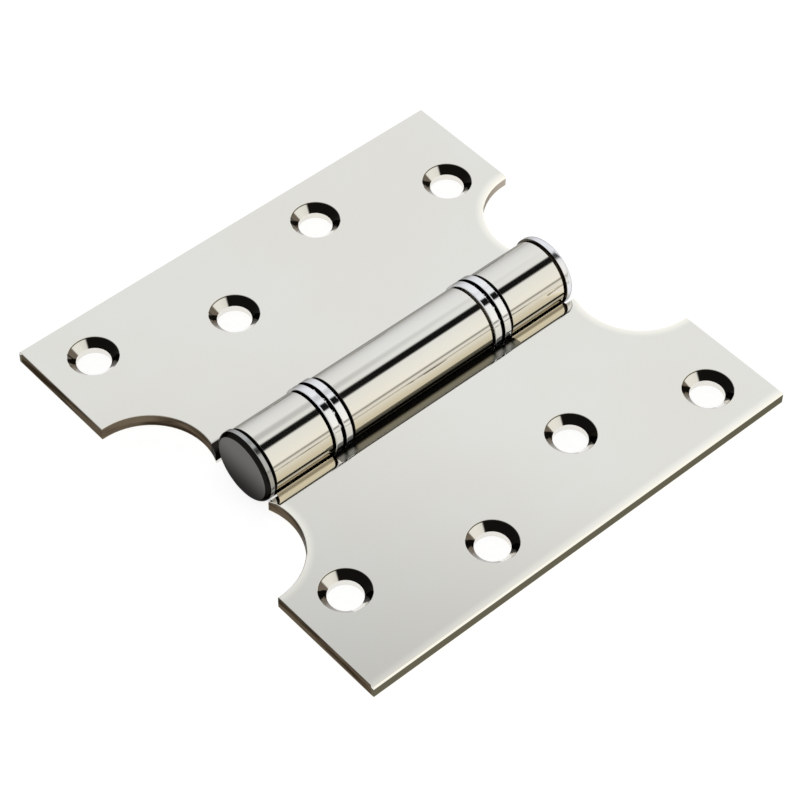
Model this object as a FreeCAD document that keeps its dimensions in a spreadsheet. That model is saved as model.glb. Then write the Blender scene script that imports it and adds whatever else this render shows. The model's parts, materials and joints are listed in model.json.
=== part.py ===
"""Parliament hinge with rolled knuckles, two ball bearings and turned end caps, lying open and flat.

+X runs across the hinge to the right leaf, +Y runs along the pin to the far end, and +Z points up from the
countersunk faces. The origin is the middle of the pin's axis. Lengths are millimetres.
"""

import FreeCAD
import Part
import Sketcher
import math
import os

DRIVING_SIZES = {
    "leaf_length": 102.0,  # along the pin
    "leaf_reach": 51.0,  # from the pin's axis to the outer edge
    "leaf_thickness": 3.0,
    "axis_rise": 2.0,  # pin axis above the countersunk faces
    "bend_run": 2.2,  # from the barrel's side to where the sheet dips under it
    "bend_radius": 3.0,
    "notch_gap": 0.2,  # between a bearing and the leaf's edge beside it
    "seam_gap": 0.35,  # between the end of the curl and the leaf
    "scoop_radius": 13.0,  # round cut between the leaf's tip and the barrel's end
    "scoop_run": 4.8,  # centre of the round cut, out from the leaf's edge beside the barrel
    "scoop_inset": 0.5,  # and inside the leaf's end
    "hole_radius": 3.4,
    "sink_radius": 5.0,
    "sink_angle": 90.0,
    "hole_edge": 10.0,  # outer row of screw holes, in from the outer edge
    "row_step": 9.0,  # inner row, in from the outer row
    "hole_end": 10.0,  # end screw holes, in from the leaf's ends
    "middle_pitch": 14.0,  # middle screw holes, from the leaf's middle
    "leaf_break": 0.2,
    "pin_radius": 4.0,
    "pin_break": 0.5,
    "running_fit": 0.04,
    "barrel_inset": 12.7,  # cap faces, in from the leaf's ends
    "middle_length": 34.8,  # knuckle of the left leaf
    "knuckle_break": 0.2,
    "relief_depth": 0.7,  # groove of each race and cap beside its knuckle, below the barrel's surface
    "relief_width": 0.4,
    "race_stand": 0.4,  # bearings proud of the knuckles
    "race_width": 2.1,
    "race_gap": 0.7,
    "race_round": 0.2,
    "ball_radius": 1.1,
    "ball_count": 14,
    "ball_fit": 0.05,
    "cap_stand": 0.35,  # caps proud of the knuckles
    "cap_thickness": 2.2,
    "cap_round": 1.0,
    "plug_length": 4.0,
}

BARREL_RADIUS = "(Dims.pin_radius + Dims.leaf_thickness)"
BARREL_PAST = f"({BARREL_RADIUS} + 2 * Dims.leaf_thickness)"
BEND_REACH = f"({BARREL_RADIUS} + Dims.bend_run)"
RACE_RADIUS = f"({BARREL_RADIUS} + Dims.race_stand)"
BALL_CIRCLE = f"((Dims.pin_radius + {RACE_RADIUS}) / 2)"
CAP_RADIUS = f"({BARREL_RADIUS} + Dims.cap_stand)"
RELIEF_RADIUS = f"({BARREL_RADIUS} - Dims.relief_depth)"
NOTCH_REACH = f"({RACE_RADIUS} + Dims.notch_gap)"
SCOOP_REACH = f"({NOTCH_REACH} + Dims.scoop_run)"
SCOOP_LEVEL = "(Dims.leaf_length / 2 - Dims.scoop_inset)"
OUTER_ROW = "(Dims.leaf_reach - Dims.hole_edge)"
INNER_ROW = f"({OUTER_ROW} - Dims.row_step)"
END_PITCH = "(Dims.leaf_length / 2 - Dims.hole_end)"
LEAF_PAST = "(Dims.leaf_length / 2 + Dims.leaf_thickness)"
MIDDLE_END = "(Dims.middle_length / 2)"
BALL_PLANE = f"({MIDDLE_END} + Dims.race_width + Dims.race_gap / 2)"
BEARING_END = f"({MIDDLE_END} + 2 * Dims.race_width + Dims.race_gap)"
BARREL_END = "(Dims.leaf_length / 2 - Dims.barrel_inset - Dims.cap_thickness)"

doc = FreeCAD.newDocument("ParliamentHinge")
sheet = doc.addObject("Spreadsheet::Sheet", "Dims")
for row, (alias, number) in enumerate(DRIVING_SIZES.items(), start=1):
    sheet.set(f"A{row}", alias)
    sheet.set(f"B{row}", str(number))
    sheet.setAlias(f"B{row}", alias)
doc.recompute()

ORIGIN = (-1, 1)  # a sketch's own origin, as (curve, point)
FORWARD = FreeCAD.Rotation(FreeCAD.Vector(1, 0, 0), -90)  # a turned piece's axis along +Y
BACKWARD = FreeCAD.Rotation(FreeCAD.Vector(1, 0, 0), 90)  # and along -Y
HALF_TURN = FreeCAD.Rotation(FreeCAD.Vector(0, 0, 1), 180)


def value(expression):
    return float(sheet.evalExpression(expression))


def point(x, y):
    return FreeCAD.Vector(x, y, 0)


def new_body(label):
    body = doc.addObject("PartDesign::Body", label)
    body.Label = label
    return body


def origin_plane(body, role):
    return next(feature for feature in body.Origin.OriginFeatures if feature.Role == role)


def new_sketch(body, name, role):
    sketch = body.newObject("Sketcher::SketchObject", name)
    sketch.AttachmentSupport = [(origin_plane(body, role), "")]
    sketch.MapMode = "FlatFace"
    return sketch


def add_lines(sketch, points):
    return [
        sketch.addGeometry(Part.LineSegment(start, end), False)
        for start, end in zip(points, points[1:])
    ]


def add_arc(sketch, centre, radius, start, end):
    circle = Part.Circle(centre, FreeCAD.Vector(0, 0, 1), radius)
    return sketch.addGeometry(Part.ArcOfCircle(circle, start, end), False)


def constrain(sketch, kind, *references):
    sketch.addConstraint(Sketcher.Constraint(kind, *references))


def drive(sketch, kind, references, expression):
    """Adds a dimension and ties it to the spreadsheet."""
    constraint = Sketcher.Constraint(kind, *references, value(expression))
    index = sketch.addConstraint(constraint)
    sketch.setExpression(f"Constraints[{index}]", expression)


def join(sketch, *curves):
    """Joins each curve's end to the next curve's start, round to the first."""
    for first, second in zip(curves, curves[1:] + curves[:1]):
        constrain(sketch, "Coincident", first, 2, second, 1)


def square_up(sketch, level=(), upright=()):
    for line in level:
        constrain(sketch, "Horizontal", line)
    for line in upright:
        constrain(sketch, "Vertical", line)


def finish_feature(body, feature):
    doc.recompute()
    body.Tip = feature
    return feature


def pad_through(body, sketch, name, expression):
    pad = body.newObject("PartDesign::Pad", name)
    pad.Profile = sketch
    pad.Midplane = True
    pad.setExpression("Length", expression)
    return finish_feature(body, pad)


def pocket_through(body, sketch, name):
    before = body.Shape.Volume
    pocket = body.newObject("PartDesign::Pocket", name)
    pocket.Profile = sketch
    pocket.Midplane = True
    pocket.Type = "ThroughAll"
    finish_feature(body, pocket)
    if pocket.Shape.Volume >= before:
        raise RuntimeError(f"{name} cuts nothing")
    return pocket


def revolve(body, sketch, name, axis="V_Axis"):
    revolution = body.newObject("PartDesign::Revolution", name)
    revolution.Profile = sketch
    revolution.ReferenceAxis = (sketch, [axis])
    revolution.Angle = 360
    return finish_feature(body, revolution)


def edges_where(body, test):
    """Names the edges of the body's last feature that pass a test."""
    return [
        f"Edge{index}"
        for index, edge in enumerate(body.Tip.Shape.Edges, start=1)
        if test(edge)
    ]


def dress_edges(body, kind, name, size, expression, test):
    base = body.Tip
    names = edges_where(body, test)
    dressed = body.newObject(f"PartDesign::{kind}", name)
    dressed.Base = (base, names)
    dressed.setExpression(size, expression)
    return finish_feature(body, dressed)


def near(first, second):
    return abs(first - second) < 1e-4


def is_circle(edge, radius):
    return isinstance(edge.Curve, Part.Circle) and near(edge.Curve.Radius, radius)


def is_turned_edge(radius, height):
    """A test for the round edge of a turned piece, by its radius and its height on the axis."""

    def test(edge):
        return is_circle(edge, radius) and near(edge.Curve.Center.z, height)

    return test


def roll_leaf(body, bore):
    """Pads the section of a sheet whose edge dips and curls round the pin."""
    radius = value(bore)
    thickness = value("Dims.leaf_thickness")
    face = -value("Dims.axis_rise")
    back = face - thickness
    bend = value(BEND_REACH)
    reach = value("Dims.leaf_reach")
    outside = radius + thickness

    # the dipping stretch is the tangent from the bend to the bore
    slant = math.asin(radius / math.hypot(bend, face))
    heading = math.atan2(-face, -bend) + slant
    touch = heading + math.pi / 2
    bend_top = point(bend, face)
    bore_touch = point(radius * math.cos(touch), radius * math.sin(touch))
    barrel_touch = point(outside * math.cos(touch), outside * math.sin(touch))
    rise = back - barrel_touch.y
    bend_back = point(barrel_touch.x + rise / math.tan(heading), back)
    # the curl stops short of that stretch by the seam, and its end is cut square
    lip = touch + math.acos((radius - value("Dims.seam_gap")) / outside) - 2 * math.pi
    inner_lip = point(radius * math.cos(lip), radius * math.sin(lip))
    outer_lip = point(outside * math.cos(lip), outside * math.sin(lip))

    sketch = new_sketch(body, "Section", "XZ_Plane")
    top, dip = add_lines(sketch, [point(reach, face), bend_top, bore_touch])
    inner = add_arc(sketch, point(0, 0), radius, lip, touch)
    (end,) = add_lines(sketch, [inner_lip, outer_lip])
    outer = add_arc(sketch, point(0, 0), outside, lip, touch)
    under, bottom, edge = add_lines(
        sketch, [barrel_touch, bend_back, point(reach, back), point(reach, face)]
    )

    for first, second in ((top, dip), (end, outer), (under, bottom), (bottom, edge), (edge, top)):
        constrain(sketch, "Coincident", first, 2, second, 1)
    constrain(sketch, "Coincident", inner, 1, end, 1)
    constrain(sketch, "Tangent", dip, 2, inner, 2)
    constrain(sketch, "Tangent", outer, 2, under, 1)
    constrain(sketch, "Coincident", inner, 3, *ORIGIN)
    constrain(sketch, "Coincident", outer, 3, *ORIGIN)
    constrain(sketch, "PointOnObject", *ORIGIN, end)
    constrain(sketch, "Parallel", dip, under)
    square_up(sketch, level=(top, bottom), upright=(edge,))
    drive(sketch, "Radius", (inner,), bore)
    drive(sketch, "Radius", (outer,), f"{bore} + Dims.leaf_thickness")
    drive(sketch, "DistanceY", (*ORIGIN, top, 1), "-Dims.axis_rise")
    drive(sketch, "DistanceY", (*ORIGIN, bottom, 2), "-Dims.axis_rise - Dims.leaf_thickness")
    drive(sketch, "DistanceX", (*ORIGIN, top, 1), "Dims.leaf_reach")
    drive(sketch, "DistanceX", (*ORIGIN, top, 2), BEND_REACH)
    drive(sketch, "Distance", (end, 2, dip), "Dims.seam_gap")
    pad_through(body, sketch, "Sheet", "Dims.leaf_length")

    def is_crease(corner):
        def test(line):
            middle = line.CenterOfMass
            return near(middle.x, corner.x) and near(middle.z, corner.y)

        return test

    outside_bend = "Dims.bend_radius + Dims.leaf_thickness"
    dress_edges(body, "Fillet", "BendFace", "Radius", outside_bend, is_crease(bend_top))
    dress_edges(body, "Fillet", "BendBack", "Radius", "Dims.bend_radius", is_crease(bend_back))


def cut_leaf_end(body, knuckle_end):
    """Cuts the barrel off past a knuckle and scoops the leaf between its tip and the barrel, at both ends."""
    past = value(BARREL_PAST)
    notch = value(NOTCH_REACH)
    start = value(knuckle_end)
    centre = point(value(SCOOP_REACH), value(SCOOP_LEVEL))
    radius = value("Dims.scoop_radius")
    tip = centre.x + radius
    end = value(LEAF_PAST)
    across = notch - centre.x
    neck = centre.y - math.sqrt(radius**2 - across**2)

    sketch = new_sketch(body, "EndOutline", "XY_Plane")
    step, side = add_lines(sketch, [point(-past, start), point(notch, start), point(notch, neck)])
    scoop = add_arc(sketch, centre, radius, math.atan2(neck - centre.y, across), 0)
    flank, over, back = add_lines(
        sketch, [point(tip, centre.y), point(tip, end), point(-past, end), point(-past, start)]
    )
    for first, second in ((step, side), (side, scoop), (flank, over), (over, back), (back, step)):
        constrain(sketch, "Coincident", first, 2, second, 1)
    constrain(sketch, "Tangent", scoop, 2, flank, 1)
    square_up(sketch, level=(step, over), upright=(side, flank, back))
    drive(sketch, "DistanceX", (*ORIGIN, side, 1), NOTCH_REACH)
    drive(sketch, "DistanceY", (*ORIGIN, step, 2), knuckle_end)
    drive(sketch, "DistanceX", (*ORIGIN, scoop, 3), SCOOP_REACH)
    drive(sketch, "DistanceY", (*ORIGIN, scoop, 3), SCOOP_LEVEL)
    drive(sketch, "Radius", (scoop,), "Dims.scoop_radius")
    drive(sketch, "DistanceX", (*ORIGIN, back, 1), f"-{BARREL_PAST}")
    drive(sketch, "DistanceY", (*ORIGIN, over, 1), LEAF_PAST)
    pocket = pocket_through(body, sketch, "EndCut")

    mirror = body.newObject("PartDesign::Mirrored", "OtherEndCut")
    mirror.Originals = [pocket]
    mirror.MirrorPlane = (origin_plane(body, "XZ_Plane"), [""])
    finish_feature(body, mirror)


def cut_middle_notch(body):
    """Cuts the room for the other leaf's knuckle and the two bearings."""
    past = value(BARREL_PAST)
    notch = value(NOTCH_REACH)
    half = value(BEARING_END)
    sketch = new_sketch(body, "NotchOutline", "XY_Plane")
    corners = [point(-past, -half), point(notch, -half), point(notch, half), point(-past, half)]
    near_side, edge, far_side, open_side = add_lines(sketch, corners + corners[:1])
    join(sketch, near_side, edge, far_side, open_side)
    square_up(sketch, level=(near_side, far_side), upright=(edge, open_side))
    drive(sketch, "DistanceX", (*ORIGIN, edge, 1), NOTCH_REACH)
    drive(sketch, "DistanceX", (*ORIGIN, open_side, 1), f"-{BARREL_PAST}")
    drive(sketch, "DistanceY", (*ORIGIN, near_side, 1), f"-{BEARING_END}")
    drive(sketch, "DistanceY", (*ORIGIN, far_side, 1), BEARING_END)
    pocket_through(body, sketch, "MiddleNotch")


def drill_leaf(body):
    """Drills and countersinks the four staggered screw holes."""
    sketch = new_sketch(body, "HoleCentres", "XY_Plane")
    sketch.setExpression("AttachmentOffset.Base.z", "-Dims.axis_rise")
    places = (
        (INNER_ROW, f"-{END_PITCH}"),
        (OUTER_ROW, "-Dims.middle_pitch"),
        (INNER_ROW, "Dims.middle_pitch"),
        (OUTER_ROW, END_PITCH),
    )
    for across, along in places:
        centre = point(value(across), value(along))
        circle = Part.Circle(centre, FreeCAD.Vector(0, 0, 1), value("Dims.hole_radius"))
        hole = sketch.addGeometry(circle, False)
        drive(sketch, "DistanceX", (*ORIGIN, hole, 3), across)
        drive(sketch, "DistanceY", (*ORIGIN, hole, 3), along)
        drive(sketch, "Radius", (hole,), "Dims.hole_radius")
    doc.recompute()
    before = body.Shape.Volume
    holes = body.newObject("PartDesign::Hole", "ScrewHoles")
    holes.Profile = sketch
    holes.Threaded = False
    holes.DepthType = "ThroughAll"
    holes.HoleCutType = "Countersink"
    holes.HoleCutCustomValues = True
    holes.setExpression("Diameter", "2 * Dims.hole_radius")
    holes.setExpression("HoleCutDiameter", "2 * Dims.sink_radius")
    holes.setExpression("HoleCutCountersinkAngle", "Dims.sink_angle")
    finish_feature(body, holes)
    if holes.Shape.Volume >= before:
        raise RuntimeError("ScrewHoles cuts nothing")


def break_leaf_edges(body, bore):
    """Bevels the knuckles' ends and the outline of both faces."""
    outside = value(bore) + value("Dims.leaf_thickness")
    face = -value("Dims.axis_rise")
    back = face - value("Dims.leaf_thickness")
    flat_start = value(BEND_REACH)

    def is_knuckle_end(edge):
        return is_circle(edge, outside)

    def is_outline(edge):
        heights = [vertex.Z for vertex in edge.Vertexes]
        on_face = all(near(height, face) for height in heights)
        on_back = all(near(height, back) for height in heights)
        flat = edge.BoundBox.XMin > flat_start
        return flat and (on_face or on_back) and len(heights) == 2

    dress_edges(body, "Chamfer", "KnuckleBreak", "Size", "Dims.knuckle_break", is_knuckle_end)
    dress_edges(body, "Chamfer", "OutlineBreak", "Size", "Dims.leaf_break", is_outline)


def make_right_leaf():
    body = new_body("right_leaf")
    bore = "Dims.pin_radius"
    roll_leaf(body, bore)
    cut_leaf_end(body, BARREL_END)
    cut_middle_notch(body)
    drill_leaf(body)
    break_leaf_edges(body, bore)
    return body


def make_left_leaf():
    body = new_body("left_leaf")
    bore = "(Dims.pin_radius + Dims.running_fit)"
    roll_leaf(body, bore)
    cut_leaf_end(body, MIDDLE_END)
    drill_leaf(body)
    break_leaf_edges(body, bore)
    body.Placement = FreeCAD.Placement(FreeCAD.Vector(), HALF_TURN)
    return body


def set_on_axis(body, rotation, along):
    """Turns a piece's own axis to the pin's and slides it along."""
    body.Placement = FreeCAD.Placement(FreeCAD.Vector(), rotation)
    body.setExpression("Placement.Base.y", along)


def make_pin():
    body = new_body("hinge_pin")
    sketch = new_sketch(body, "PinSection", "XY_Plane")
    radius = value("Dims.pin_radius")
    circle = sketch.addGeometry(Part.Circle(point(0, 0), FreeCAD.Vector(0, 0, 1), radius), False)
    constrain(sketch, "Coincident", circle, 3, *ORIGIN)
    drive(sketch, "Radius", (circle,), "Dims.pin_radius")
    pad_through(body, sketch, "Rod", f"2 * ({BARREL_END} - Dims.plug_length)")

    def is_rim(edge):
        return is_circle(edge, radius)

    dress_edges(body, "Chamfer", "RodBreak", "Size", "Dims.pin_break", is_rim)
    set_on_axis(body, FORWARD, "0")
    return body


def make_cap(label, rotation, along):
    body = new_body(label)
    plug = value("Dims.pin_radius")
    depth = -value("Dims.plug_length")
    neck = value(RELIEF_RADIUS)
    step = value("Dims.relief_width")
    radius = value(CAP_RADIUS)
    thickness = value("Dims.cap_thickness")
    corners = [
        point(0, depth),
        point(plug, depth),
        point(plug, 0),
        point(neck, 0),
        point(neck, step),
        point(radius, step),
        point(radius, thickness),
        point(0, thickness),
    ]
    sketch = new_sketch(body, "CapSection", "XZ_Plane")
    base, wall, seat, relief, under, rim, front, centre = add_lines(sketch, corners + corners[:1])
    join(sketch, base, wall, seat, relief, under, rim, front, centre)
    square_up(sketch, level=(base, seat, under, front), upright=(wall, relief, rim))
    constrain(sketch, "PointOnObject", base, 1, -2)
    constrain(sketch, "PointOnObject", front, 2, -2)
    constrain(sketch, "PointOnObject", seat, 1, -1)
    drive(sketch, "DistanceX", (*ORIGIN, wall, 1), "Dims.pin_radius")
    drive(sketch, "DistanceX", (*ORIGIN, relief, 1), RELIEF_RADIUS)
    drive(sketch, "DistanceX", (*ORIGIN, rim, 1), CAP_RADIUS)
    drive(sketch, "DistanceY", (*ORIGIN, base, 2), "-Dims.plug_length")
    drive(sketch, "DistanceY", (*ORIGIN, under, 1), "Dims.relief_width")
    drive(sketch, "DistanceY", (*ORIGIN, rim, 2), "Dims.cap_thickness")
    revolve(body, sketch, "Turned")
    dress_edges(
        body, "Fillet", "FaceRound", "Radius", "Dims.cap_round", is_turned_edge(radius, thickness)
    )
    dress_edges(body, "Chamfer", "PlugBreak", "Size", "Dims.pin_break", is_turned_edge(plug, depth))
    set_on_axis(body, rotation, along)
    return body


def make_race(label, rotation, along):
    body = new_body(label)
    bore = value("Dims.pin_radius + Dims.running_fit")
    hub = value(RELIEF_RADIUS)
    step = value("Dims.relief_width")
    radius = value(RACE_RADIUS)
    width = value("Dims.race_width")
    centre = point(value(BALL_CIRCLE), value("Dims.race_width + Dims.race_gap / 2"))
    groove = value("Dims.ball_radius + Dims.ball_fit")
    dip = math.asin((centre.y - width) / groove)
    half_mouth = groove * math.cos(dip)

    sketch = new_sketch(body, "RaceSection", "XZ_Plane")
    bore_wall, inner_lip = add_lines(
        sketch, [point(bore, 0), point(bore, width), point(centre.x - half_mouth, width)]
    )
    track = add_arc(sketch, centre, groove, math.pi + dip, 2 * math.pi - dip)
    corners = [
        point(centre.x + half_mouth, width),
        point(radius, width),
        point(radius, step),
        point(hub, step),
        point(hub, 0),
        point(bore, 0),
    ]
    outer_lip, rim, under, relief, seat = add_lines(sketch, corners)
    join(sketch, bore_wall, inner_lip, track, outer_lip, rim, under, relief, seat)
    square_up(sketch, level=(inner_lip, outer_lip, under, seat), upright=(bore_wall, rim, relief))
    constrain(sketch, "PointOnObject", seat, 2, -1)
    drive(sketch, "DistanceX", (*ORIGIN, bore_wall, 1), "Dims.pin_radius + Dims.running_fit")
    drive(sketch, "DistanceX", (*ORIGIN, relief, 1), RELIEF_RADIUS)
    drive(sketch, "DistanceY", (*ORIGIN, under, 1), "Dims.relief_width")
    drive(sketch, "DistanceX", (*ORIGIN, rim, 1), RACE_RADIUS)
    drive(sketch, "DistanceY", (*ORIGIN, rim, 1), "Dims.race_width")
    drive(sketch, "DistanceY", (*ORIGIN, bore_wall, 2), "Dims.race_width")
    drive(sketch, "DistanceX", (*ORIGIN, track, 3), BALL_CIRCLE)
    drive(sketch, "DistanceY", (*ORIGIN, track, 3), "Dims.race_width + Dims.race_gap / 2")
    drive(sketch, "Radius", (track,), "Dims.ball_radius + Dims.ball_fit")
    revolve(body, sketch, "Turned")

    def is_outer_edge(edge):
        return is_circle(edge, radius)

    dress_edges(body, "Fillet", "EdgeRound", "Radius", "Dims.race_round", is_outer_edge)
    set_on_axis(body, rotation, along)
    return body


def make_balls(label, along):
    body = new_body(label)
    body.AllowCompound = True
    circle = value(BALL_CIRCLE)
    radius = value("Dims.ball_radius")
    sketch = new_sketch(body, "HalfBall", "XZ_Plane")
    arc = add_arc(sketch, point(circle, 0), radius, -math.pi / 2, math.pi / 2)
    (diameter,) = add_lines(sketch, [point(circle, radius), point(circle, -radius)])
    join(sketch, arc, diameter)
    constrain(sketch, "PointOnObject", arc, 3, diameter)
    constrain(sketch, "PointOnObject", arc, 3, -1)
    constrain(sketch, "Vertical", diameter)
    drive(sketch, "DistanceX", (*ORIGIN, arc, 3), BALL_CIRCLE)
    drive(sketch, "Radius", (arc,), "Dims.ball_radius")
    ball = revolve(body, sketch, "Ball", f"Edge{diameter + 1}")

    ring = body.newObject("PartDesign::PolarPattern", "BallRing")
    ring.Originals = [ball]
    ring.Axis = (origin_plane(body, "Z_Axis"), [""])
    ring.Angle = 360
    ring.setExpression("Occurrences", "Dims.ball_count")
    finish_feature(body, ring)
    set_on_axis(body, FORWARD, along)
    return body


pieces = [
    make_right_leaf(),
    make_left_leaf(),
    make_pin(),
    make_cap("near_cap", BACKWARD, f"-{BARREL_END}"),
    make_cap("far_cap", FORWARD, BARREL_END),
    make_race("near_outer_race", FORWARD, f"-{BEARING_END}"),
    make_race("near_inner_race", BACKWARD, f"-{MIDDLE_END}"),
    make_race("far_inner_race", FORWARD, MIDDLE_END),
    make_race("far_outer_race", BACKWARD, BEARING_END),
    make_balls("near_balls", f"-{BALL_PLANE}"),
    make_balls("far_balls", BALL_PLANE),
]
doc.recompute()

for item in doc.Objects:
    if "Invalid" in item.State or "Error" in item.State:
        raise RuntimeError(f"{item.Label} failed: {item.State}")
for piece in pieces:
    if piece.Shape.isNull() or not piece.Shape.isValid():
        raise RuntimeError(f"{piece.Label} has no valid shape")

os.makedirs("parts", exist_ok=True)
for piece in pieces:
    piece.Shape.exportStep(f"parts/{piece.Label}.step")
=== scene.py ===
# %% [markdown]
# # A polished parliament hinge
#
# A parliament hinge has two H-shaped leaves that carry the door well clear of its frame. This one is folded
# and rolled from bright stainless sheet, and it turns on a pin with a ball bearing at each side of the
# middle knuckle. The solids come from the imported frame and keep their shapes. This lesson gives them their
# finishes, then sets up the floor, the light and the camera.

import json
import math
from types import SimpleNamespace

import bpy
import numpy as np
from mathutils import Matrix, Vector


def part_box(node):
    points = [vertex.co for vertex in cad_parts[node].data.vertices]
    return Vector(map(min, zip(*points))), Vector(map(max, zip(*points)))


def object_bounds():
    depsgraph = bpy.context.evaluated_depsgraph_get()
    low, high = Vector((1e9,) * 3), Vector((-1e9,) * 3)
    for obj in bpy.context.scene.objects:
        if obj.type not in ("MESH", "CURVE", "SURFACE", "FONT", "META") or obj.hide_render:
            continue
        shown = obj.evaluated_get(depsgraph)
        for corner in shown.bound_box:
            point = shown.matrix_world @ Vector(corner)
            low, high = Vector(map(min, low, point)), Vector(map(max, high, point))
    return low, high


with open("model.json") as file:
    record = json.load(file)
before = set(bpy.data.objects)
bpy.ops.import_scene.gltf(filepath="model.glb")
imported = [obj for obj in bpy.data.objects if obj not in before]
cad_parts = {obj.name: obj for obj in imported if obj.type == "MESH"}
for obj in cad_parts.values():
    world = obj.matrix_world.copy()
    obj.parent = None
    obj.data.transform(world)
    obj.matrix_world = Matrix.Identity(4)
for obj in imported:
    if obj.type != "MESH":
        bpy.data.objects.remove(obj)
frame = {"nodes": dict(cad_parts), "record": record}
CAD_LOW, CAD_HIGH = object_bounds()
MM = 0.001
nodes = frame["nodes"]
print("nodes:", ", ".join(sorted(nodes)))
print("size in mm:", [round(side / MM, 2) for side in CAD_HIGH - CAD_LOW])

# %% [markdown]
# ## Measuring the pieces
#
# The finishes need to know where a leaf's face and back lie, how thick the barrel is, where the knuckles and
# caps end and where the screws go. All of that can be read from the boxes of the nodes, from the points of
# one leaf and from the record.

# %% Measure the pieces
_, leaf_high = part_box("right_leaf")
cap_low, cap_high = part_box("near_cap")
race_low, race_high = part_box("far_outer_race")
inner_low, inner_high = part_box("far_inner_race")
leaf_mesh = nodes["right_leaf"].data
leaf_points = np.zeros(len(leaf_mesh.vertices) * 3, np.float32)
leaf_mesh.vertices.foreach_get("co", leaf_points)
leaf_points = leaf_points.reshape(-1, 3)

LEAF_REACH, LEAF_END = float(leaf_high.x), float(leaf_high.y)
BARREL_RADIUS = float(leaf_high.z)
OUTER_SHARE = 0.9  # past this share of the reach all is flat sheet, and of the height all is barrel
flat_sheet = leaf_points[leaf_points[:, 0] > OUTER_SHARE * LEAF_REACH]
FACE_Z = float(flat_sheet[:, 2].max())
BACK_Z = float(flat_sheet[:, 2].min())
barrel_top = leaf_points[leaf_points[:, 2] > OUTER_SHARE * BARREL_RADIUS]
BARREL_END = float(barrel_top[:, 1].max())
RACE_RADIUS, RACE_GAP = float(race_high.z), float(race_low.y - inner_high.y)
MIDDLE_END, BEARING_END = float(inner_low.y), float(race_high.y)
BALL_PLANE = 0.5 * (MIDDLE_END + BEARING_END)
CAP_RADIUS, CAP_FACE_Y = float(cap_high.z), float(-cap_low.y)
FLOOR_Z = float(CAD_LOW.z)

openings = frame["record"]["physics"]["openings"]
screw_boxes = np.array([opening["box_m"] for opening in openings if opening["name"].endswith("screw_hole")])
screw_places = np.abs(screw_boxes.mean(axis=1)).round(6)
SCREW_ROWS = [float(row) for row in np.unique(screw_places[:, 0])]
SCREW_PITCHES = [float(pitch) for pitch in np.unique(screw_places[:, 1])]
print("face and back in mm:", round(FACE_Z / MM, 2), round(BACK_Z / MM, 2))
print("barrel radius and cap face in mm:", round(BARREL_RADIUS / MM, 2), round(CAP_FACE_Y / MM, 2))
print("screw rows and pitches in mm:", [round(place / MM, 2) for place in SCREW_ROWS + SCREW_PITCHES])

# %% [markdown]
# ## A small kit for finishes
#
# Every finish here is a network of nodes that reads Object coordinates, which are metres in the hinge's own
# frame. A pattern then stays on its piece while the leaves swing. A few helpers keep the networks short: they
# add a node and fill its sockets, do one sum, ease from one value to another, make noise or blend colours.

# %% Helpers for nodes
NOISE_ROUGHNESS = 0.55


def fill_socket(tree, socket, value):
    """Links a socket to another one, or gives it a fixed value."""
    if isinstance(value, bpy.types.NodeSocket):
        tree.links.new(value, socket)
    else:
        socket.default_value = value


def add_node(tree, kind, inputs=(), **settings):
    """Adds a node, sets its options, and fills each named or numbered input with a value or a link."""
    made = tree.nodes.new(kind)
    for option, value in settings.items():
        setattr(made, option, value)
    for key, value in dict(inputs).items():
        fill_socket(tree, made.inputs[key], value)
    return made


def math_node(tree, operation, *values):
    """One Math node: the operation on the given values or sockets, in order."""
    return add_node(tree, "ShaderNodeMath", enumerate(values), operation=operation).outputs[0]


def all_of(tree, *shares):
    """The product of masks: 1 only where each of them is 1."""
    product = shares[0]
    for share in shares[1:]:
        product = math_node(tree, "MULTIPLY", product, share)
    return product


def any_of(tree, *shares):
    """The largest of masks: 1 where at least one of them is 1."""
    largest = shares[0]
    for share in shares[1:]:
        largest = math_node(tree, "MAXIMUM", largest, share)
    return largest


def opposite(tree, share):
    """The opposite of a mask."""
    return math_node(tree, "SUBTRACT", 1.0, share)


def ease_range(tree, value, start, end, low=0.0, high=1.0):
    """A smooth step: low before start, high after end, with an S-curve between."""
    inputs = {"Value": value, "From Min": start, "From Max": end, "To Min": low, "To Max": high}
    return add_node(tree, "ShaderNodeMapRange", inputs, interpolation_type="SMOOTHSTEP").outputs["Result"]


def length_of(tree, first, second):
    """The length of a flat arrow: the square root of the sum of the squares."""
    arrow = add_node(tree, "ShaderNodeCombineXYZ", {"X": first, "Y": second}).outputs[0]
    return add_node(tree, "ShaderNodeVectorMath", {0: arrow}, operation="LENGTH").outputs["Value"]


def stretched_noise(tree, coordinates, scale, detail=3.0):
    """Noise on coordinates multiplied by scale, in waves per metre along X, Y and Z."""
    mapping = add_node(tree, "ShaderNodeMapping", {"Vector": coordinates, "Scale": scale})
    inputs = {"Vector": mapping.outputs[0], "Scale": 1.0, "Detail": detail, "Roughness": NOISE_ROUGHNESS}
    return add_node(tree, "ShaderNodeTexNoise", inputs).outputs["Fac"]


def blend_colours(tree, share, first, second):
    """A colour that goes from first to second as share goes from 0 to 1."""
    inputs = {0: share, 6: first, 7: second}  # a Mix node has a row of sockets for each type of data
    return add_node(tree, "ShaderNodeMix", inputs, data_type="RGBA").outputs[2]


# %% [markdown]
# The next helpers start and end a finish. A finish begins as plain metal, and its places are numbers that say
# where a point lies: along each axis, how far from the middle, and how far from the pin.

# %% Helpers for finishes


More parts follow.
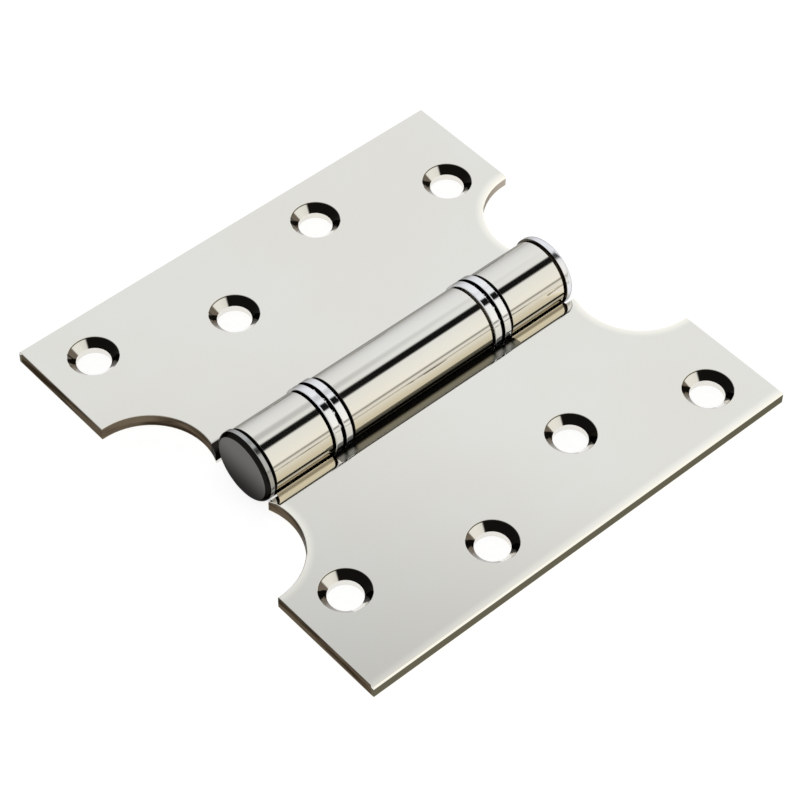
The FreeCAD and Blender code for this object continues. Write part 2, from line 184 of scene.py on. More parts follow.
def new_finish(name):
    """An empty metal: a material with a full-metal shader, its output, and the object's coordinates."""
    material = bpy.data.materials.new(name)
    material.use_nodes = True
    tree = material.node_tree
    tree.nodes.clear()
    shader = add_node(tree, "ShaderNodeBsdfPrincipled", {"Metallic": 1.0})
    output = add_node(tree, "ShaderNodeOutputMaterial")
    tree.links.new(shader.outputs[0], output.inputs["Surface"])
    coordinates = add_node(tree, "ShaderNodeTexCoord").outputs["Object"]
    return material, tree, shader, coordinates


def find_places(tree, coordinates):
    """Where a point lies: x, y and z, how far across and along from the middle, and how far from the pin."""
    axes = add_node(tree, "ShaderNodeSeparateXYZ", {0: coordinates})
    x, y, z = (axes.outputs[axis] for axis in "XYZ")
    across, along = (math_node(tree, "ABSOLUTE", place) for place in (x, y))
    return SimpleNamespace(x=x, y=y, z=z, across=across, along=along, from_pin=length_of(tree, x, z))


def set_bump(tree, shader, height, distance):
    """Feeds a height in 0 to 1 to the shader's normal; distance is the height of 1 in metres."""
    bump = add_node(tree, "ShaderNodeBump", {"Height": height, "Distance": distance})
    tree.links.new(bump.outputs["Normal"], shader.inputs["Normal"])


def dress(material, *names):
    """Puts a finish on the material slots of CAD nodes."""
    for name in names:
        for slot in nodes[name].material_slots:
            slot.material = material
    print(material.name, "on", ", ".join(names))


# %% [markdown]
# ## The leaves
#
# The sheet is polished until it mirrors the room, but it isn't a perfect mirror. The polishing belt ran along
# the pin, so very fine lines lie along Y, and handling leaves cloudy patches that are a little duller and
# warmer. The rims of some scoops and the right side carry a painted highlight, and the lower half of the
# barrel a straw painted reflection. The sheared edges are rougher, and their black, brown, tan and olive are
# painted shade and painted reflection. The strip beside the notch, the inside of the barrel, a thin line
# beside the rings and the far side of each countersink are black painted shade, and the near side of each
# countersink has a brown painted shade.

# %% Colours and widths for the leaves
LEAF_BRIGHT, LEAF_WARM = (0.800, 0.782, 0.740, 1.0), (0.790, 0.765, 0.710, 1.0)
# the first is a cream painted highlight on rims, the second a straw painted reflection on the barrel
BUFFED, STRAW = (0.98, 0.95, 0.87, 1.0), (0.77, 0.70, 0.56, 1.0)
# painted shade and painted reflection on the edges
EDGE_BLACK, EDGE_BROWN = (0.040, 0.028, 0.018, 1.0), (0.160, 0.124, 0.086, 1.0)
SIDE_OLIVE, SCOOP_TAN = (0.170, 0.156, 0.110, 1.0), (0.50, 0.44, 0.37, 1.0)
# the brown is a painted shade on the countersinks' near side
SINK_BRIGHT, SINK_BROWN = (0.76, 0.74, 0.70, 1.0), (0.14, 0.115, 0.09, 1.0)
SINK_LINE = (0.10, 0.09, 0.07, 1.0)
# painted shade on the strip beside the notch, past its black part
NOTCH_OLIVE, NOTCH_DARK = (0.30, 0.297, 0.270, 1.0), (0.025, 0.022, 0.018, 1.0)
# painted shade: the black in gaps, grooves, the barrel, the notch strip and the countersinks' far sides
OIL_BLACK = (0.008, 0.007, 0.006, 1.0)
FULL_MIRROR = (1.0, 1.0, 1.0, 1.0)
GRAZING_TINT = (0.42, 0.42, 0.42, 1.0)  # rounded metal and edges mirror less where they are seen edge on

FACE_MARGIN, SIDE_MARGIN, FAR_MARGIN = 0.03 * MM, 0.45 * MM, 0.80 * MM  # how far down an edge's painted shade starts
FAR_EDGES = 0.6 * LEAF_END, 0.8 * LEAF_END  # along the pin: from here on the far edges take over
BACK_MARGIN, EDGE_FADE = 0.25 * MM, 0.12 * MM
WALL_X = BARREL_RADIUS + 0.3 * MM  # from here outwards there is only sheet
BEND_X, BEND_SLOPE = BARREL_RADIUS + 2.2 * MM, 0.227  # from here inwards the face dips towards the barrel
SCOOP_X, SCOOP_Y, SCOOP_RADIUS = RACE_RADIUS + 5.0 * MM, LEAF_END - 0.5 * MM, 13.0 * MM
BUFF_WIDTH = 2.0 * MM  # how far in from a scoop or a side the painted highlight reaches on the face
NOTCH_BLACK, NOTCH_END = RACE_RADIUS + 0.75 * MM, RACE_RADIUS + 2.1 * MM  # black painted shade as far as here, then a paler painted shade
OIL_EDGE, OIL_LINE = 0.2 * MM, 0.45 * MM  # softness of the painted shade in the barrel, and its width beside a ring
SEAM_X = 0.85 * BARREL_RADIUS  # the seam at the end of the curl lies further out than this
STRAW_HEIGHTS = 0.10 * BARREL_RADIUS, 0.50 * BARREL_RADIUS  # below these the barrel is straw, a painted reflection of tan light
SINK_REACH, SINK_DEPTH = 5.6 * MM, 1.6 * MM  # half of a square round a countersink, and the cone's depth
LINE_DEPTH = 0.24 * MM  # depth of the dark line round its rim
SINK_OIL = (0.27, 0.37)  # where its black painted shade begins: the cosine of the angle from the direction of the far cap
SINK_STAIN = (-0.44, -0.34)  # and where the brown painted shade on the side towards the near cap ends
print("scoop centre and radius in mm:", [round(size / MM, 2) for size in (SCOOP_X, SCOOP_Y, SCOOP_RADIUS)])

# %% [markdown]
# ### Masks
#
# A mask is a number that is 1 where something holds and 0 elsewhere, and it is found from where a point lies.
# An edge, for example, is any point between the face and the back that is neither on the barrel nor at a
# screw. Near the barrel the face itself dips, so the depth at which an edge starts has to follow the bend.

# %% Masks for the leaves


def nearest_of(tree, value, places):
    """The distance from a value to the nearest of two places."""
    gaps = [math_node(tree, "ABSOLUTE", math_node(tree, "SUBTRACT", value, place)) for place in places]
    return math_node(tree, "MINIMUM", *gaps)


def mark_edges(tree, at):
    """Adds the masks of the edges, and of points below the face, above the back and outside the barrel."""
    at.depth = math_node(tree, "SUBTRACT", FACE_Z, at.z)
    at.screw_x = nearest_of(tree, at.across, SCREW_ROWS)
    at.screw_y = nearest_of(tree, at.along, SCREW_PITCHES)
    close = (math_node(tree, "LESS_THAN", gap, SINK_REACH) for gap in (at.screw_x, at.screw_y))
    at.at_screw = all_of(tree, *close)
    off_screw = opposite(tree, at.at_screw)

    at.sides = ease_range(tree, at.across, LEAF_REACH - 2.0 * SIDE_MARGIN, LEAF_REACH - SIDE_MARGIN)
    at.far_edges = ease_range(tree, at.y, *FAR_EDGES)
    far_scoop = all_of(tree, at.far_edges, opposite(tree, at.sides), off_screw)
    into_bend = math_node(tree, "MAXIMUM", math_node(tree, "SUBTRACT", BEND_X, at.across), 0.0)
    margin = math_node(tree, "MULTIPLY_ADD", at.sides, SIDE_MARGIN - FACE_MARGIN, FACE_MARGIN)
    margin = math_node(tree, "MULTIPLY_ADD", into_bend, BEND_SLOPE, margin)
    margin = math_node(tree, "MULTIPLY_ADD", far_scoop, FAR_MARGIN, margin)

    at.below_face = ease_range(tree, math_node(tree, "SUBTRACT", at.depth, margin), 0.0, EDGE_FADE)
    at.above_back = ease_range(tree, at.z, BACK_Z + BACK_MARGIN, BACK_Z + BACK_MARGIN + EDGE_FADE)
    at.outside = ease_range(tree, at.across, WALL_X, WALL_X + EDGE_FADE)
    at.edges = all_of(tree, at.below_face, at.above_back, at.outside, off_screw)


def mark_countersinks(tree, at):
    """Adds the masks of the cones, of the black and the brown painted shade in them, and of the line round
    their rims.
    """
    at.sinks = all_of(tree, at.at_screw, at.below_face, math_node(tree, "LESS_THAN", at.depth, SINK_DEPTH))
    far_side = 0.0  # how far a point lies from its screw towards the far cap
    for pitch in SCREW_PITCHES + [-pitch for pitch in SCREW_PITCHES]:
        offset = math_node(tree, "SUBTRACT", at.y, pitch)
        near = math_node(tree, "LESS_THAN", math_node(tree, "ABSOLUTE", offset), SINK_REACH)
        far_side = math_node(tree, "MULTIPLY_ADD", near, offset, far_side)
    turned = math_node(tree, "DIVIDE", far_side, length_of(tree, at.screw_x, at.screw_y))
    # painted shade: black on the far side of each countersink, brown on its near side
    at.oily_sinks = all_of(tree, at.sinks, ease_range(tree, turned, *SINK_OIL))
    at.brown_sinks = all_of(tree, at.sinks, ease_range(tree, turned, *SINK_STAIN, 1.0, 0.0))
    at.sink_rims = all_of(tree, at.sinks, math_node(tree, "LESS_THAN", at.depth, LINE_DEPTH))


def mark_rims(tree, at, buffed_from):
    """Adds the mask of the painted highlight on rims: scoops past buffed_from along the pin, and the right
    side.
    """
    scoop_x = math_node(tree, "SUBTRACT", at.across, SCOOP_X)
    scoop_y = math_node(tree, "SUBTRACT", at.along, SCOOP_Y)
    from_scoop = math_node(tree, "SUBTRACT", length_of(tree, scoop_x, scoop_y), SCOOP_RADIUS)
    scoop_rim = ease_range(tree, from_scoop, 0.0, BUFF_WIDTH, 1.0, 0.0)
    scoop_rim = all_of(tree, scoop_rim, math_node(tree, "GREATER_THAN", at.y, buffed_from))
    side_rim = ease_range(tree, at.x, LEAF_REACH - BUFF_WIDTH, LEAF_REACH)
    at.buffed = all_of(tree, any_of(tree, scoop_rim, side_rim), at.outside)


def mark_notch(tree, at, notch):
    """Adds the mask of the painted shade on the strip beside the notch, which lies between two places along
    the pin.
    """
    at.milled = all_of(
        tree,
        at.outside,
        at.above_back,
        ease_range(tree, at.across, NOTCH_END, NOTCH_END + EDGE_FADE, 1.0, 0.0),
        math_node(tree, "GREATER_THAN", at.along, notch[0] - OIL_EDGE),
        math_node(tree, "LESS_THAN", at.along, notch[1] + OIL_EDGE),
    )


def mark_oil(tree, at, ring_places, oil_end):
    """Adds the masks of the barrel's skin and of the painted shade: inside it as far as oil_end, and beside
    rings.
    """
    at.on_barrel = math_node(tree, "LESS_THAN", at.from_pin, BARREL_RADIUS + 0.5 * OIL_EDGE)
    at.oily = all_of(
        tree,
        ease_range(tree, at.from_pin, BARREL_RADIUS - OIL_EDGE, BARREL_RADIUS - 0.5 * OIL_EDGE, 1.0, 0.0),
        math_node(tree, "LESS_THAN", at.y, oil_end - OIL_LINE),
        math_node(tree, "LESS_THAN", at.across, SEAM_X),
    )
    # painted shade in a thin line beside each ring
    for place in ring_places:
        past = math_node(tree, "SUBTRACT", at.y, place)
        line = ease_range(tree, past, OIL_LINE - EDGE_FADE, OIL_LINE, 1.0, 0.0)
        line = all_of(tree, line, math_node(tree, "GREATER_THAN", past, -OIL_EDGE), at.on_barrel)
        at.oily = any_of(tree, at.oily, line)


# %% [markdown]
# ### Coats
#
# The colours lie one over another like coats of paint, each laid on through its mask. Dull places are also
# rougher, and the barrel and the edges mirror less at a grazing angle, which gives a bar its dark outline.

# %% Finish for the leaves
BELT_SCALE, BELT_HEIGHT = (2600.0, 60.0, 2600.0), 0.0006 * MM
CLOUD_SCALE, CLOUD_RANGE = (26.0, 21.0, 26.0), (0.42, 0.66)
STAIN_SCALE, STAIN_RANGE = (70.0, 70.0, 500.0), (0.34, 0.58)
FINE_DETAIL = 4.0
LEAF_ROUGHNESS = 0.035  # of clean sheet; belt lines, clouds and dull places add to it
BELT_ROUGHNESS, CLOUD_ROUGHNESS, DULL_ROUGHNESS = 0.05, 0.02, 0.28


def leaf_finish(name, notch, notch_colour, ring_places, oil_end, buffed_from):
    """Polished sheet with painted shade at the notch, beside rings and in the barrel, and painted highlights
    on rims.
    """
    material, tree, shader, coordinates = new_finish(name)
    at = find_places(tree, coordinates)
    mark_edges(tree, at)
    mark_countersinks(tree, at)
    mark_rims(tree, at, buffed_from)
    mark_notch(tree, at, notch)
    mark_oil(tree, at, ring_places, oil_end)

    belt_lines = stretched_noise(tree, coordinates, BELT_SCALE)
    patches = ease_range(tree, stretched_noise(tree, coordinates, CLOUD_SCALE, FINE_DETAIL), *CLOUD_RANGE)
    stains = ease_range(tree, stretched_noise(tree, coordinates, STAIN_SCALE, FINE_DETAIL), *STAIN_RANGE)
    # painted shade on the edges, with tan painted reflection on the far edges and olive on the sides
    edge_colour = blend_colours(tree, stains, EDGE_BLACK, EDGE_BROWN)
    edge_colour = blend_colours(tree, at.far_edges, edge_colour, SCOOP_TAN)
    edge_colour = blend_colours(tree, at.sides, edge_colour, SIDE_OLIVE)
    past_black = ease_range(tree, at.across, NOTCH_BLACK - 2.0 * OIL_EDGE, NOTCH_BLACK + 2.0 * OIL_EDGE)
    # painted shade on the strip beside the notch
    strip_colour = blend_colours(tree, past_black, OIL_BLACK, notch_colour)
    # straw painted reflection on the lower half of the barrel
    lower_half = all_of(tree, ease_range(tree, at.z, *STRAW_HEIGHTS, 1.0, 0.0), at.on_barrel)

    colour = blend_colours(tree, patches, LEAF_BRIGHT, LEAF_WARM)
    # coats of painted highlight on rims, straw painted reflection, and painted shade on edges, notch strip,
    # barrel and countersink sides
    coats = (
        (at.buffed, BUFFED),
        (lower_half, STRAW),
        (at.sinks, SINK_BRIGHT),
        (at.brown_sinks, SINK_BROWN),
        (at.sink_rims, SINK_LINE),
        (at.oily_sinks, OIL_BLACK),
        (at.edges, edge_colour),
        (at.milled, strip_colour),
        (at.oily, OIL_BLACK),
    )
    for mask, coat in coats:
        colour = blend_colours(tree, mask, colour, coat)
    tree.links.new(colour, shader.inputs["Base Color"])

    dull = any_of(tree, at.edges, at.milled, at.oily)
    tinted = any_of(tree, dull, at.on_barrel)
    tree.links.new(blend_colours(tree, tinted, FULL_MIRROR, GRAZING_TINT), shader.inputs["Specular Tint"])
    roughness = math_node(tree, "MULTIPLY_ADD", belt_lines, BELT_ROUGHNESS, LEAF_ROUGHNESS)
    roughness = math_node(tree, "MULTIPLY_ADD", patches, CLOUD_ROUGHNESS, roughness)
    roughness = math_node(tree, "MULTIPLY_ADD", dull, DULL_ROUGHNESS, roughness)
    tree.links.new(roughness, shader.inputs["Roughness"])
    set_bump(tree, shader, belt_lines, BELT_HEIGHT)
    return material


right_rings, left_rings = (-BARREL_END, BEARING_END), (-MIDDLE_END,)
right_notch, left_notch = (-BEARING_END, BEARING_END), (MIDDLE_END, LEAF_END)
dress(leaf_finish("right_sheet", right_notch, NOTCH_OLIVE, right_rings, BARREL_END, -LEAF_END), "right_leaf")
dress(leaf_finish("left_sheet", left_notch, NOTCH_DARK, left_rings, MIDDLE_END, 0.0), "left_leaf")

# %% [markdown]
# ## The bearings
#
# Each bearing has two bright rings turned on a lathe, with hardened balls between them. The tool leaves lines
# that run round the ring, so the noise changes along the pin and hardly at all round it. Only the rims are
# bright: below them and in the grooves beside the knuckles the dark is painted shade, black on three rings
# and a paler brown on the far inner one, and between the rings it is black painted shade.

# %% Finishes for the bearings and the pin
RACE_BRIGHT = (0.90, 0.90, 0.92, 1.0)
BALL_BRIGHT = (0.82, 0.82, 0.84, 1.0)
PIN_GREY = (0.66, 0.66, 0.66, 1.0)
# a paler brown painted shade for the grooves of the far inner ring and the far cap
THIN_OIL = (0.20, 0.18, 0.15, 1.0)
RIM_EDGE, RIM_FADE = 0.10 * MM, 0.04 * MM  # width of the painted shade on a rim's rounded corners
RIM_DEPTH = 0.6 * MM  # further down than this a ring is painted shade all over
RELIEF_WIDTH = 0.4 * MM  # the groove of a ring beside its knuckle
RIM_START = 0.5 * RACE_GAP + RIM_EDGE
RIM_END = BEARING_END - BALL_PLANE - RELIEF_WIDTH
ROUND_SCALE = 90.0  # waves per metre round a turned piece, far fewer than along it
TURNED_CLOUDS, CLOUD_SHADE = (120.0, 120.0, 120.0), 0.92
RACE_LINES = dict(line_scale=4000.0, roughness=0.03, line_roughness=0.06, line_height=0.0004 * MM)
BALL_LINES = dict(line_scale=700.0, roughness=0.03, line_roughness=0.04, line_height=0.0002 * MM)
PIN_LINES = dict(line_scale=500.0, roughness=0.16, line_roughness=0.12, line_height=0.0010 * MM)


def turned_finish(name, colour, line_scale, roughness, line_roughness, line_height):
    """A lathe finish: lines round the pin, from noise that is fine along Y."""
    material, tree, shader, coordinates = new_finish(name)
    lines = stretched_noise(tree, coordinates, (ROUND_SCALE, line_scale, ROUND_SCALE))
    clouds = stretched_noise(tree, coordinates, TURNED_CLOUDS)
    darker = tuple(CLOUD_SHADE * part for part in colour[:3]) + (1.0,)
    clean = blend_colours(tree, clouds, colour, darker)
    tree.links.new(clean, shader.inputs["Base Color"])
    roughness = math_node(tree, "MULTIPLY_ADD", lines, line_roughness, roughness)
    tree.links.new(roughness, shader.inputs["Roughness"])
    set_bump(tree, shader, lines, line_height)
    return material, tree, shader, coordinates, clean


def race_finish(name, bright_end, groove_oil):
    """A turned ring, bright from its inner corner to bright_end, which is counted from the balls, with
    painted shade elsewhere.
    """
    material, tree, shader, coordinates, clean = turned_finish(name, RACE_BRIGHT, **RACE_LINES)
    shader.inputs["Specular Tint"].default_value = GRAZING_TINT
    at = find_places(tree, coordinates)
    from_balls = math_node(tree, "ABSOLUTE", math_node(tree, "SUBTRACT", at.along, BALL_PLANE))
    depth = math_node(tree, "SUBTRACT", RACE_RADIUS, at.from_pin)
    beside = ease_range(tree, from_balls, bright_end, bright_end + RIM_FADE)
    below = ease_range(tree, depth, RIM_DEPTH, RIM_DEPTH + RIM_FADE)
    inner_side = ease_range(tree, from_balls, RIM_START - RIM_FADE, RIM_START, 1.0, 0.0)
    # painted shade in the grooves and below the rims, black between the rings
    colour = blend_colours(tree, any_of(tree, beside, below), clean, groove_oil)
    tree.links.new(blend_colours(tree, inner_side, colour, OIL_BLACK), shader.inputs["Base Color"])
    return material


# each ring has painted shade in its grooves; the last one's is a paler brown
dress(race_finish("oiled_race", RIM_END - RIM_EDGE, OIL_BLACK), "near_inner_race", "far_outer_race")
dress(race_finish("wiped_race", RIM_END + RIM_EDGE, OIL_BLACK), "near_outer_race")
dress(race_finish("clean_race", RIM_END + RIM_EDGE, THIN_OIL), "far_inner_race")
dress(turned_finish("hardened_ball", BALL_BRIGHT, **BALL_LINES)[0], "near_balls", "far_balls")
dress(turned_finish("drawn_rod", PIN_GREY, **PIN_LINES)[0], "hinge_pin")

# %% [markdown]
# ## The end caps
#
# The caps are turned too, but left satin. On the flat end the tool marks are rings round the centre, so the
# noise reads the distance from the pin's axis there. The end is painted shade: a darker grey than the rim,
# and darker still towards the bottom. The near cap is a painted shaded copy of the far one: its rim is grey,
# and its rounded lip and the groove where it meets the knuckle are black painted shade. The far cap's lip is
# as bright as its rim, and its groove has a paler brown painted shade.

# %% Finish for the caps
# the near cap's grey rim is a painted shaded copy of the far cap's bright one
NEAR_RIM, FAR_RIM = (0.44, 0.438, 0.435, 1.0), (0.84, 0.84, 0.87, 1.0)
# painted shade: the grey of the ends, and the black low on them, on the near lip and in the near groove
CAP_END = (0.195, 0.187, 0.180, 1.0)
CAP_BLACK = (0.012, 0.011, 0.010, 1.0)
LIP_DEPTH = 0.85 * MM
GROOVE_DEPTH = 1.7 * MM  # from the end of a cap to the groove under its rim
CAP_FADE = 0.06 * MM
SHADE_HEIGHTS, SHADE_SHARE = (-0.8 * CAP_RADIUS, 0.6 * CAP_RADIUS), 0.85  # painted shade: the end darkens downwards
MARK_SCALE, MARK_HEIGHT = (3000.0, 3000.0, 1.0), 0.0012 * MM
CAP_ROUGHNESS, MARK_ROUGHNESS, END_ROUGHNESS = 0.14, 0.10, 0.12  # of the metal; marks and the end add to it


def cap_finish(name, rim_colour, groove_colour, lip_colour):
    """A lathe finish with colours for rim, groove and lip, and an end of painted shade that is darkest low
    down.
    """
    material, tree, shader, coordinates = new_finish(name)
    shader.inputs["Specular Tint"].default_value = GRAZING_TINT
    at = find_places(tree, coordinates)
    rings = add_node(tree, "ShaderNodeCombineXYZ", {"X": at.from_pin, "Y": at.along}).outputs[0]
    marks = stretched_noise(tree, rings, MARK_SCALE)
    from_end = math_node(tree, "SUBTRACT", CAP_FACE_Y, at.along)
    end = ease_range(tree, from_end, 0.1 * CAP_FADE, CAP_FADE, 1.0, 0.0)
    lip = ease_range(tree, from_end, LIP_DEPTH, LIP_DEPTH + CAP_FADE, 1.0, 0.0)
    groove = ease_range(tree, from_end, GROOVE_DEPTH, GROOVE_DEPTH + CAP_FADE)
    # painted shade: the end darkens downwards
    shade = ease_range(tree, at.z, *SHADE_HEIGHTS, SHADE_SHARE, 0.0)
    colour = blend_colours(tree, groove, rim_colour, groove_colour)
    colour = blend_colours(tree, lip, colour, lip_colour)
    colour = blend_colours(tree, end, colour, blend_colours(tree, shade, CAP_END, CAP_BLACK))
    tree.links.new(colour, shader.inputs["Base Color"])
    roughness = math_node(tree, "MULTIPLY_ADD", marks, MARK_ROUGHNESS, CAP_ROUGHNESS)
    roughness = math_node(tree, "MULTIPLY_ADD", end, END_ROUGHNESS, roughness)
    tree.links.new(roughness, shader.inputs["Roughness"])
    set_bump(tree, shader, marks, MARK_HEIGHT)
    return material


dress(cap_finish("dull_cap", NEAR_RIM, CAP_BLACK, CAP_BLACK), "near_cap")
dress(cap_finish("bright_cap", FAR_RIM, THIN_OIL, FAR_RIM), "far_cap")

# %% [markdown]
# ## The floor
#
# The hinge lies on a white sweep. A pale floor alone turns grey under soft light, so part of its white is a
# glow that only the camera, mirrors and glass see. The rest is plain diffuse, which keeps the hinge's shadow.
# Hardly any light gets in under the barrel, so the glow stops there, and below the notch a painted shadow
# makes the floor dark. Far out the sweep looks a little grey on the left and tan on the right, but only in
# the steel.

# %% Floor
FLOOR_HALF = 3.0
FLOOR_GLOW = 0.80
FLOOR_WHITE = (1.0, 1.0, 1.0, 1.0)
FLOOR_GREY, FLOOR_TAN = (0.66, 0.67, 0.67, 1.0), (0.80, 0.76, 0.66, 1.0)
# the second of these is a painted shadow under the barrel
FLOOR_DIFFUSE, FLOOR_DARK = (0.35, 0.35, 0.35, 1.0), (0.02, 0.02, 0.02, 1.0)
SHADE_EDGE = 2.0 * MM  # softness of the shade under the barrel


def floor_sheet(half, height):
    """A flat square: x and y run over a two by two grid from -half to half, and z is the height."""
    x, y = (grid.ravel() for grid in np.meshgrid((-half, half), (-half, half)))
    corners = np.column_stack([x, y, np.full(4, height)])
    mesh = bpy.data.meshes.new("floor")
    mesh.from_pydata(corners.tolist(), [], [(0, 1, 3, 2)])
    return mesh


def floor_finish():
    """A glow for camera, mirrors and glass, added to a diffuse white; the glow stops under the barrel, where
    part of the diffuse has a painted shadow.
    """
    material = bpy.data.materials.new("white_sweep")
    material.use_nodes = True
    tree = material.node_tree
    tree.nodes.clear()
    at = find_places(tree, add_node(tree, "ShaderNodeTexCoord").outputs["Object"])
    path = add_node(tree, "ShaderNodeLightPath").outputs
    seen = any_of(tree, path["Is Camera Ray"], path["Is Glossy Ray"], path["Is Transmission Ray"])

    beside = ease_range(tree, at.across, RACE_RADIUS, RACE_RADIUS + SHADE_EDGE)
    beyond = ease_range(tree, at.along, CAP_FACE_Y - 2.0 * SHADE_EDGE, CAP_FACE_Y - SHADE_EDGE)
    clear = any_of(tree, beside, beyond)
    far_out = all_of(tree, ease_range(tree, at.across, LEAF_REACH, 2.0 * LEAF_REACH), path["Is Glossy Ray"])
    far_colour = blend_colours(tree, math_node(tree, "GREATER_THAN", at.x, 0.0), FLOOR_GREY, FLOOR_TAN)
    glow_colour = blend_colours(tree, far_out, FLOOR_WHITE, far_colour)
    strength = math_node(tree, "MULTIPLY", all_of(tree, clear, seen), FLOOR_GLOW)
    glow = add_node(tree, "ShaderNodeEmission", {"Color": glow_colour, "Strength": strength})

    # painted shadow: the diffuse is dark under the barrel on its right, between the bearings
    on_left = ease_range(tree, at.x, -SHADE_EDGE, 0.0, 1.0, 0.0)
    past_notch = ease_range(tree, at.along, BEARING_END, BEARING_END + SHADE_EDGE)
    matt_colour = blend_colours(tree, any_of(tree, on_left, past_notch, clear), FLOOR_DARK, FLOOR_DIFFUSE)
    matt = add_node(tree, "ShaderNodeBsdfDiffuse", {"Color": matt_colour})
    both = add_node(tree, "ShaderNodeAddShader", {0: glow.outputs[0], 1: matt.outputs[0]})
    output = add_node(tree, "ShaderNodeOutputMaterial")
    tree.links.new(both.outputs[0], output.inputs["Surface"])
    return material


floor = bpy.data.objects.new("floor", floor_sheet(FLOOR_HALF, FLOOR_Z))
floor.data.materials.append(floor_finish())
bpy.context.scene.collection.objects.link(floor)
print("floor at", round(FLOOR_Z / MM, 2), "mm")

# %% [markdown]
# ## The light
#
# Polished metal shows what stands round it, so the light is the picture. Here two large white panels lean
# together over the hinge like a tent, a cool one on the left and a cream one on the right, with a narrow gap
# along the far half of the ridge. The front is a little dimmer, and so is a patch of the left panel near the
# ridge, where its lamp doesn't reach. The world works out the angle round the pin, reads the panels from a
# colour ramp, and darkens the gap, the front and that patch.

# %% Light tent
PANELS = (  # degrees round the pin from straight up, positive to the right, and the panel's colour
    (-180.0, (0.80, 0.80, 0.80)),
    (-105.0, (0.60, 0.62, 0.64)),
    (-85.0, (0.815, 0.83, 0.855)),
    (-60.0, (0.885, 0.905, 0.92)),
    (-30.0, (0.925, 0.945, 0.955)),
    (-2.0, (0.885, 0.905, 0.905)),
    (79.0, (1.02, 1.00, 0.915)),
    (84.0, (0.22, 0.205, 0.160)),
    (89.5, (0.90, 0.88, 0.82)),
    (180.0, (0.80, 0.80, 0.80)),
)
GAP_LEFT, GAP_RIGHT = (0.0, 7.0), (22.0, 29.0)  # degrees: where the dark gap begins and ends
GAP_FAR, GAP_DEPTH = (0.10, 0.30), 0.992  # how far along the pin a direction must lean for the gap
PATCH, PATCH_SPREAD = Vector((-0.33, 0.25, 0.91)).normalized(), (17.0, 4.0)  # degrees: its rim, soft inwards
PATCH_DEPTH = 0.38
FRONT_LEAN, FRONT_LEVELS = (-0.35, 0.50), (0.80, 1.02)  # from the front to the far side


def angle_share(degrees):
    """An angle round the pin as a share of the colour ramp."""
    return 0.5 + degrees / 360.0


def round_spot(tree, direction, centre, spread):
    """1 within the second angle of a direction and 0 past the first, from the cosine of the angle between."""
    facing = add_node(tree, "ShaderNodeVectorMath", {0: direction, 1: centre}, operation="DOT_PRODUCT")
    outer, inner = (math.cos(math.radians(angle)) for angle in spread)
    return ease_range(tree, facing.outputs["Value"], outer, inner)


def panel_ramp(tree, share):
    """The colour of the panels at a share of the way round the pin."""
    ramp = add_node(tree, "ShaderNodeValToRGB", {"Fac": share})
    stops = ramp.color_ramp.elements
    for spare in list(stops)[1:]:
        stops.remove(spare)
    for number, (degrees, colour) in enumerate(PANELS):
        stop = stops[0] if number == 0 else stops.new(angle_share(degrees))
        stop.position = angle_share(degrees)
        stop.color = (*colour, 1.0)
    return ramp.outputs["Color"]


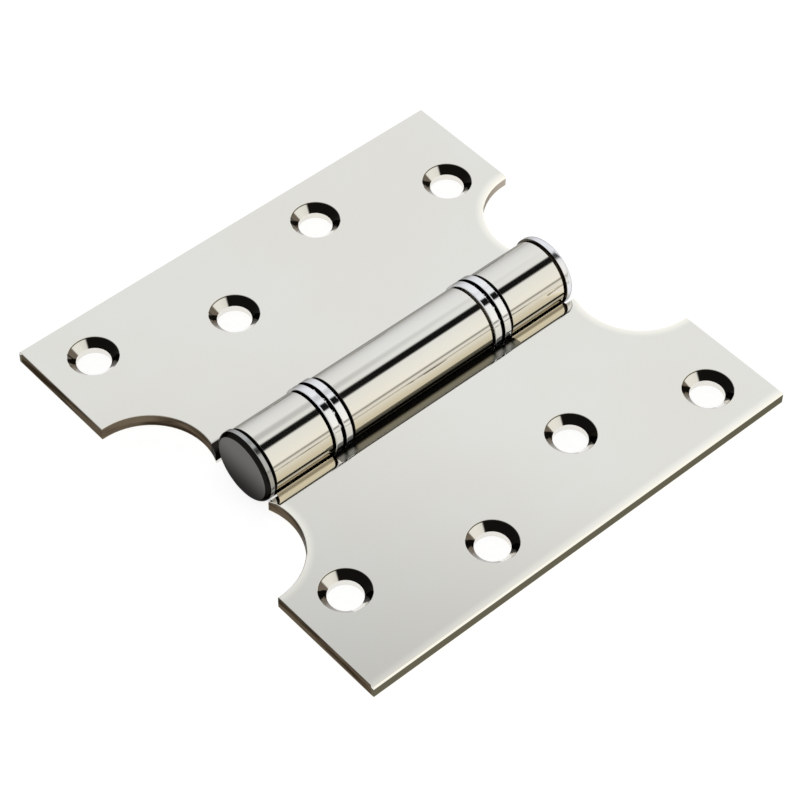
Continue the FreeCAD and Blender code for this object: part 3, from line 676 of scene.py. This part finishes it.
def light_tent():
    """A world of panels round the pin, with the gap, the dim patch and the front taken off their strength."""
    world = bpy.data.worlds.new("light_tent")
    world.use_nodes = True
    tree = world.node_tree
    tree.nodes.clear()
    direction = add_node(tree, "ShaderNodeTexCoord").outputs["Generated"]
    axes = add_node(tree, "ShaderNodeSeparateXYZ", {0: direction})
    angle = math_node(tree, "ARCTAN2", axes.outputs["X"], axes.outputs["Z"])
    share = math_node(tree, "MULTIPLY_ADD", angle, 0.5 / math.pi, 0.5)

    gap = all_of(
        tree,
        ease_range(tree, share, *map(angle_share, GAP_LEFT)),
        ease_range(tree, share, *map(angle_share, GAP_RIGHT), 1.0, 0.0),
        ease_range(tree, axes.outputs["Y"], *GAP_FAR),
    )
    level = math_node(tree, "MULTIPLY_ADD", gap, -GAP_DEPTH, 1.0)
    dim = math_node(tree, "MULTIPLY_ADD", round_spot(tree, direction, PATCH, PATCH_SPREAD), -PATCH_DEPTH, 1.0)
    front = ease_range(tree, axes.outputs["Y"], *FRONT_LEAN, *FRONT_LEVELS)
    inputs = {"Color": panel_ramp(tree, share), "Strength": all_of(tree, level, dim, front)}
    glow = add_node(tree, "ShaderNodeBackground", inputs)
    output = add_node(tree, "ShaderNodeOutputWorld")
    tree.links.new(glow.outputs[0], output.inputs["Surface"])
    return world


scene = bpy.context.scene
scene.world = light_tent()
scene.view_settings.view_transform = "Standard"
print("light tent with", len(PANELS), "stops round the pin")

# %% [markdown]
# ## The camera
#
# The camera stands in front and to the right, well above the hinge, with a long lens. Its place is kept as an
# azimuth, an elevation and a distance, and a shift sideways and up in the picture, because those are easy to
# read and to correct. The lens comes from a focal length in pixels of an 800 pixel frame.

# %% Camera
AZIMUTH, ELEVATION, ROLL = (math.radians(angle) for angle in (47.751, 49.314, 0.997))
DISTANCE = 513.54 * MM
AIM_RIGHT, AIM_UP = 0.050 * MM, -6.543 * MM
FOCAL_PIXELS, FRAME_PIXELS, SENSOR = 2735.5, 800.0, 36.0
CLIP_START = 10.0 * MM

back = Vector(
    (
        math.sin(AZIMUTH) * math.cos(ELEVATION),
        -math.cos(AZIMUTH) * math.cos(ELEVATION),
        math.sin(ELEVATION),
    )
)
right = Vector((math.cos(AZIMUTH), math.sin(AZIMUTH), 0.0))
up = back.cross(right)
right, up = (
    math.cos(ROLL) * right + math.sin(ROLL) * up,
    math.cos(ROLL) * up - math.sin(ROLL) * right,
)
camera_data = bpy.data.cameras.new("camera")
camera_data.sensor_width = SENSOR
camera_data.lens = FOCAL_PIXELS * SENSOR / FRAME_PIXELS
camera_data.clip_start = CLIP_START
camera = bpy.data.objects.new("camera", camera_data)
scene.collection.objects.link(camera)
turn = Matrix((right, up, back)).transposed().to_4x4()
camera.matrix_world = Matrix.Translation(back * DISTANCE + right * AIM_RIGHT + up * AIM_UP) @ turn
scene.camera = camera
print("camera at", [round(part / MM, 1) for part in camera.location], "mm, lens", round(camera_data.lens, 1))
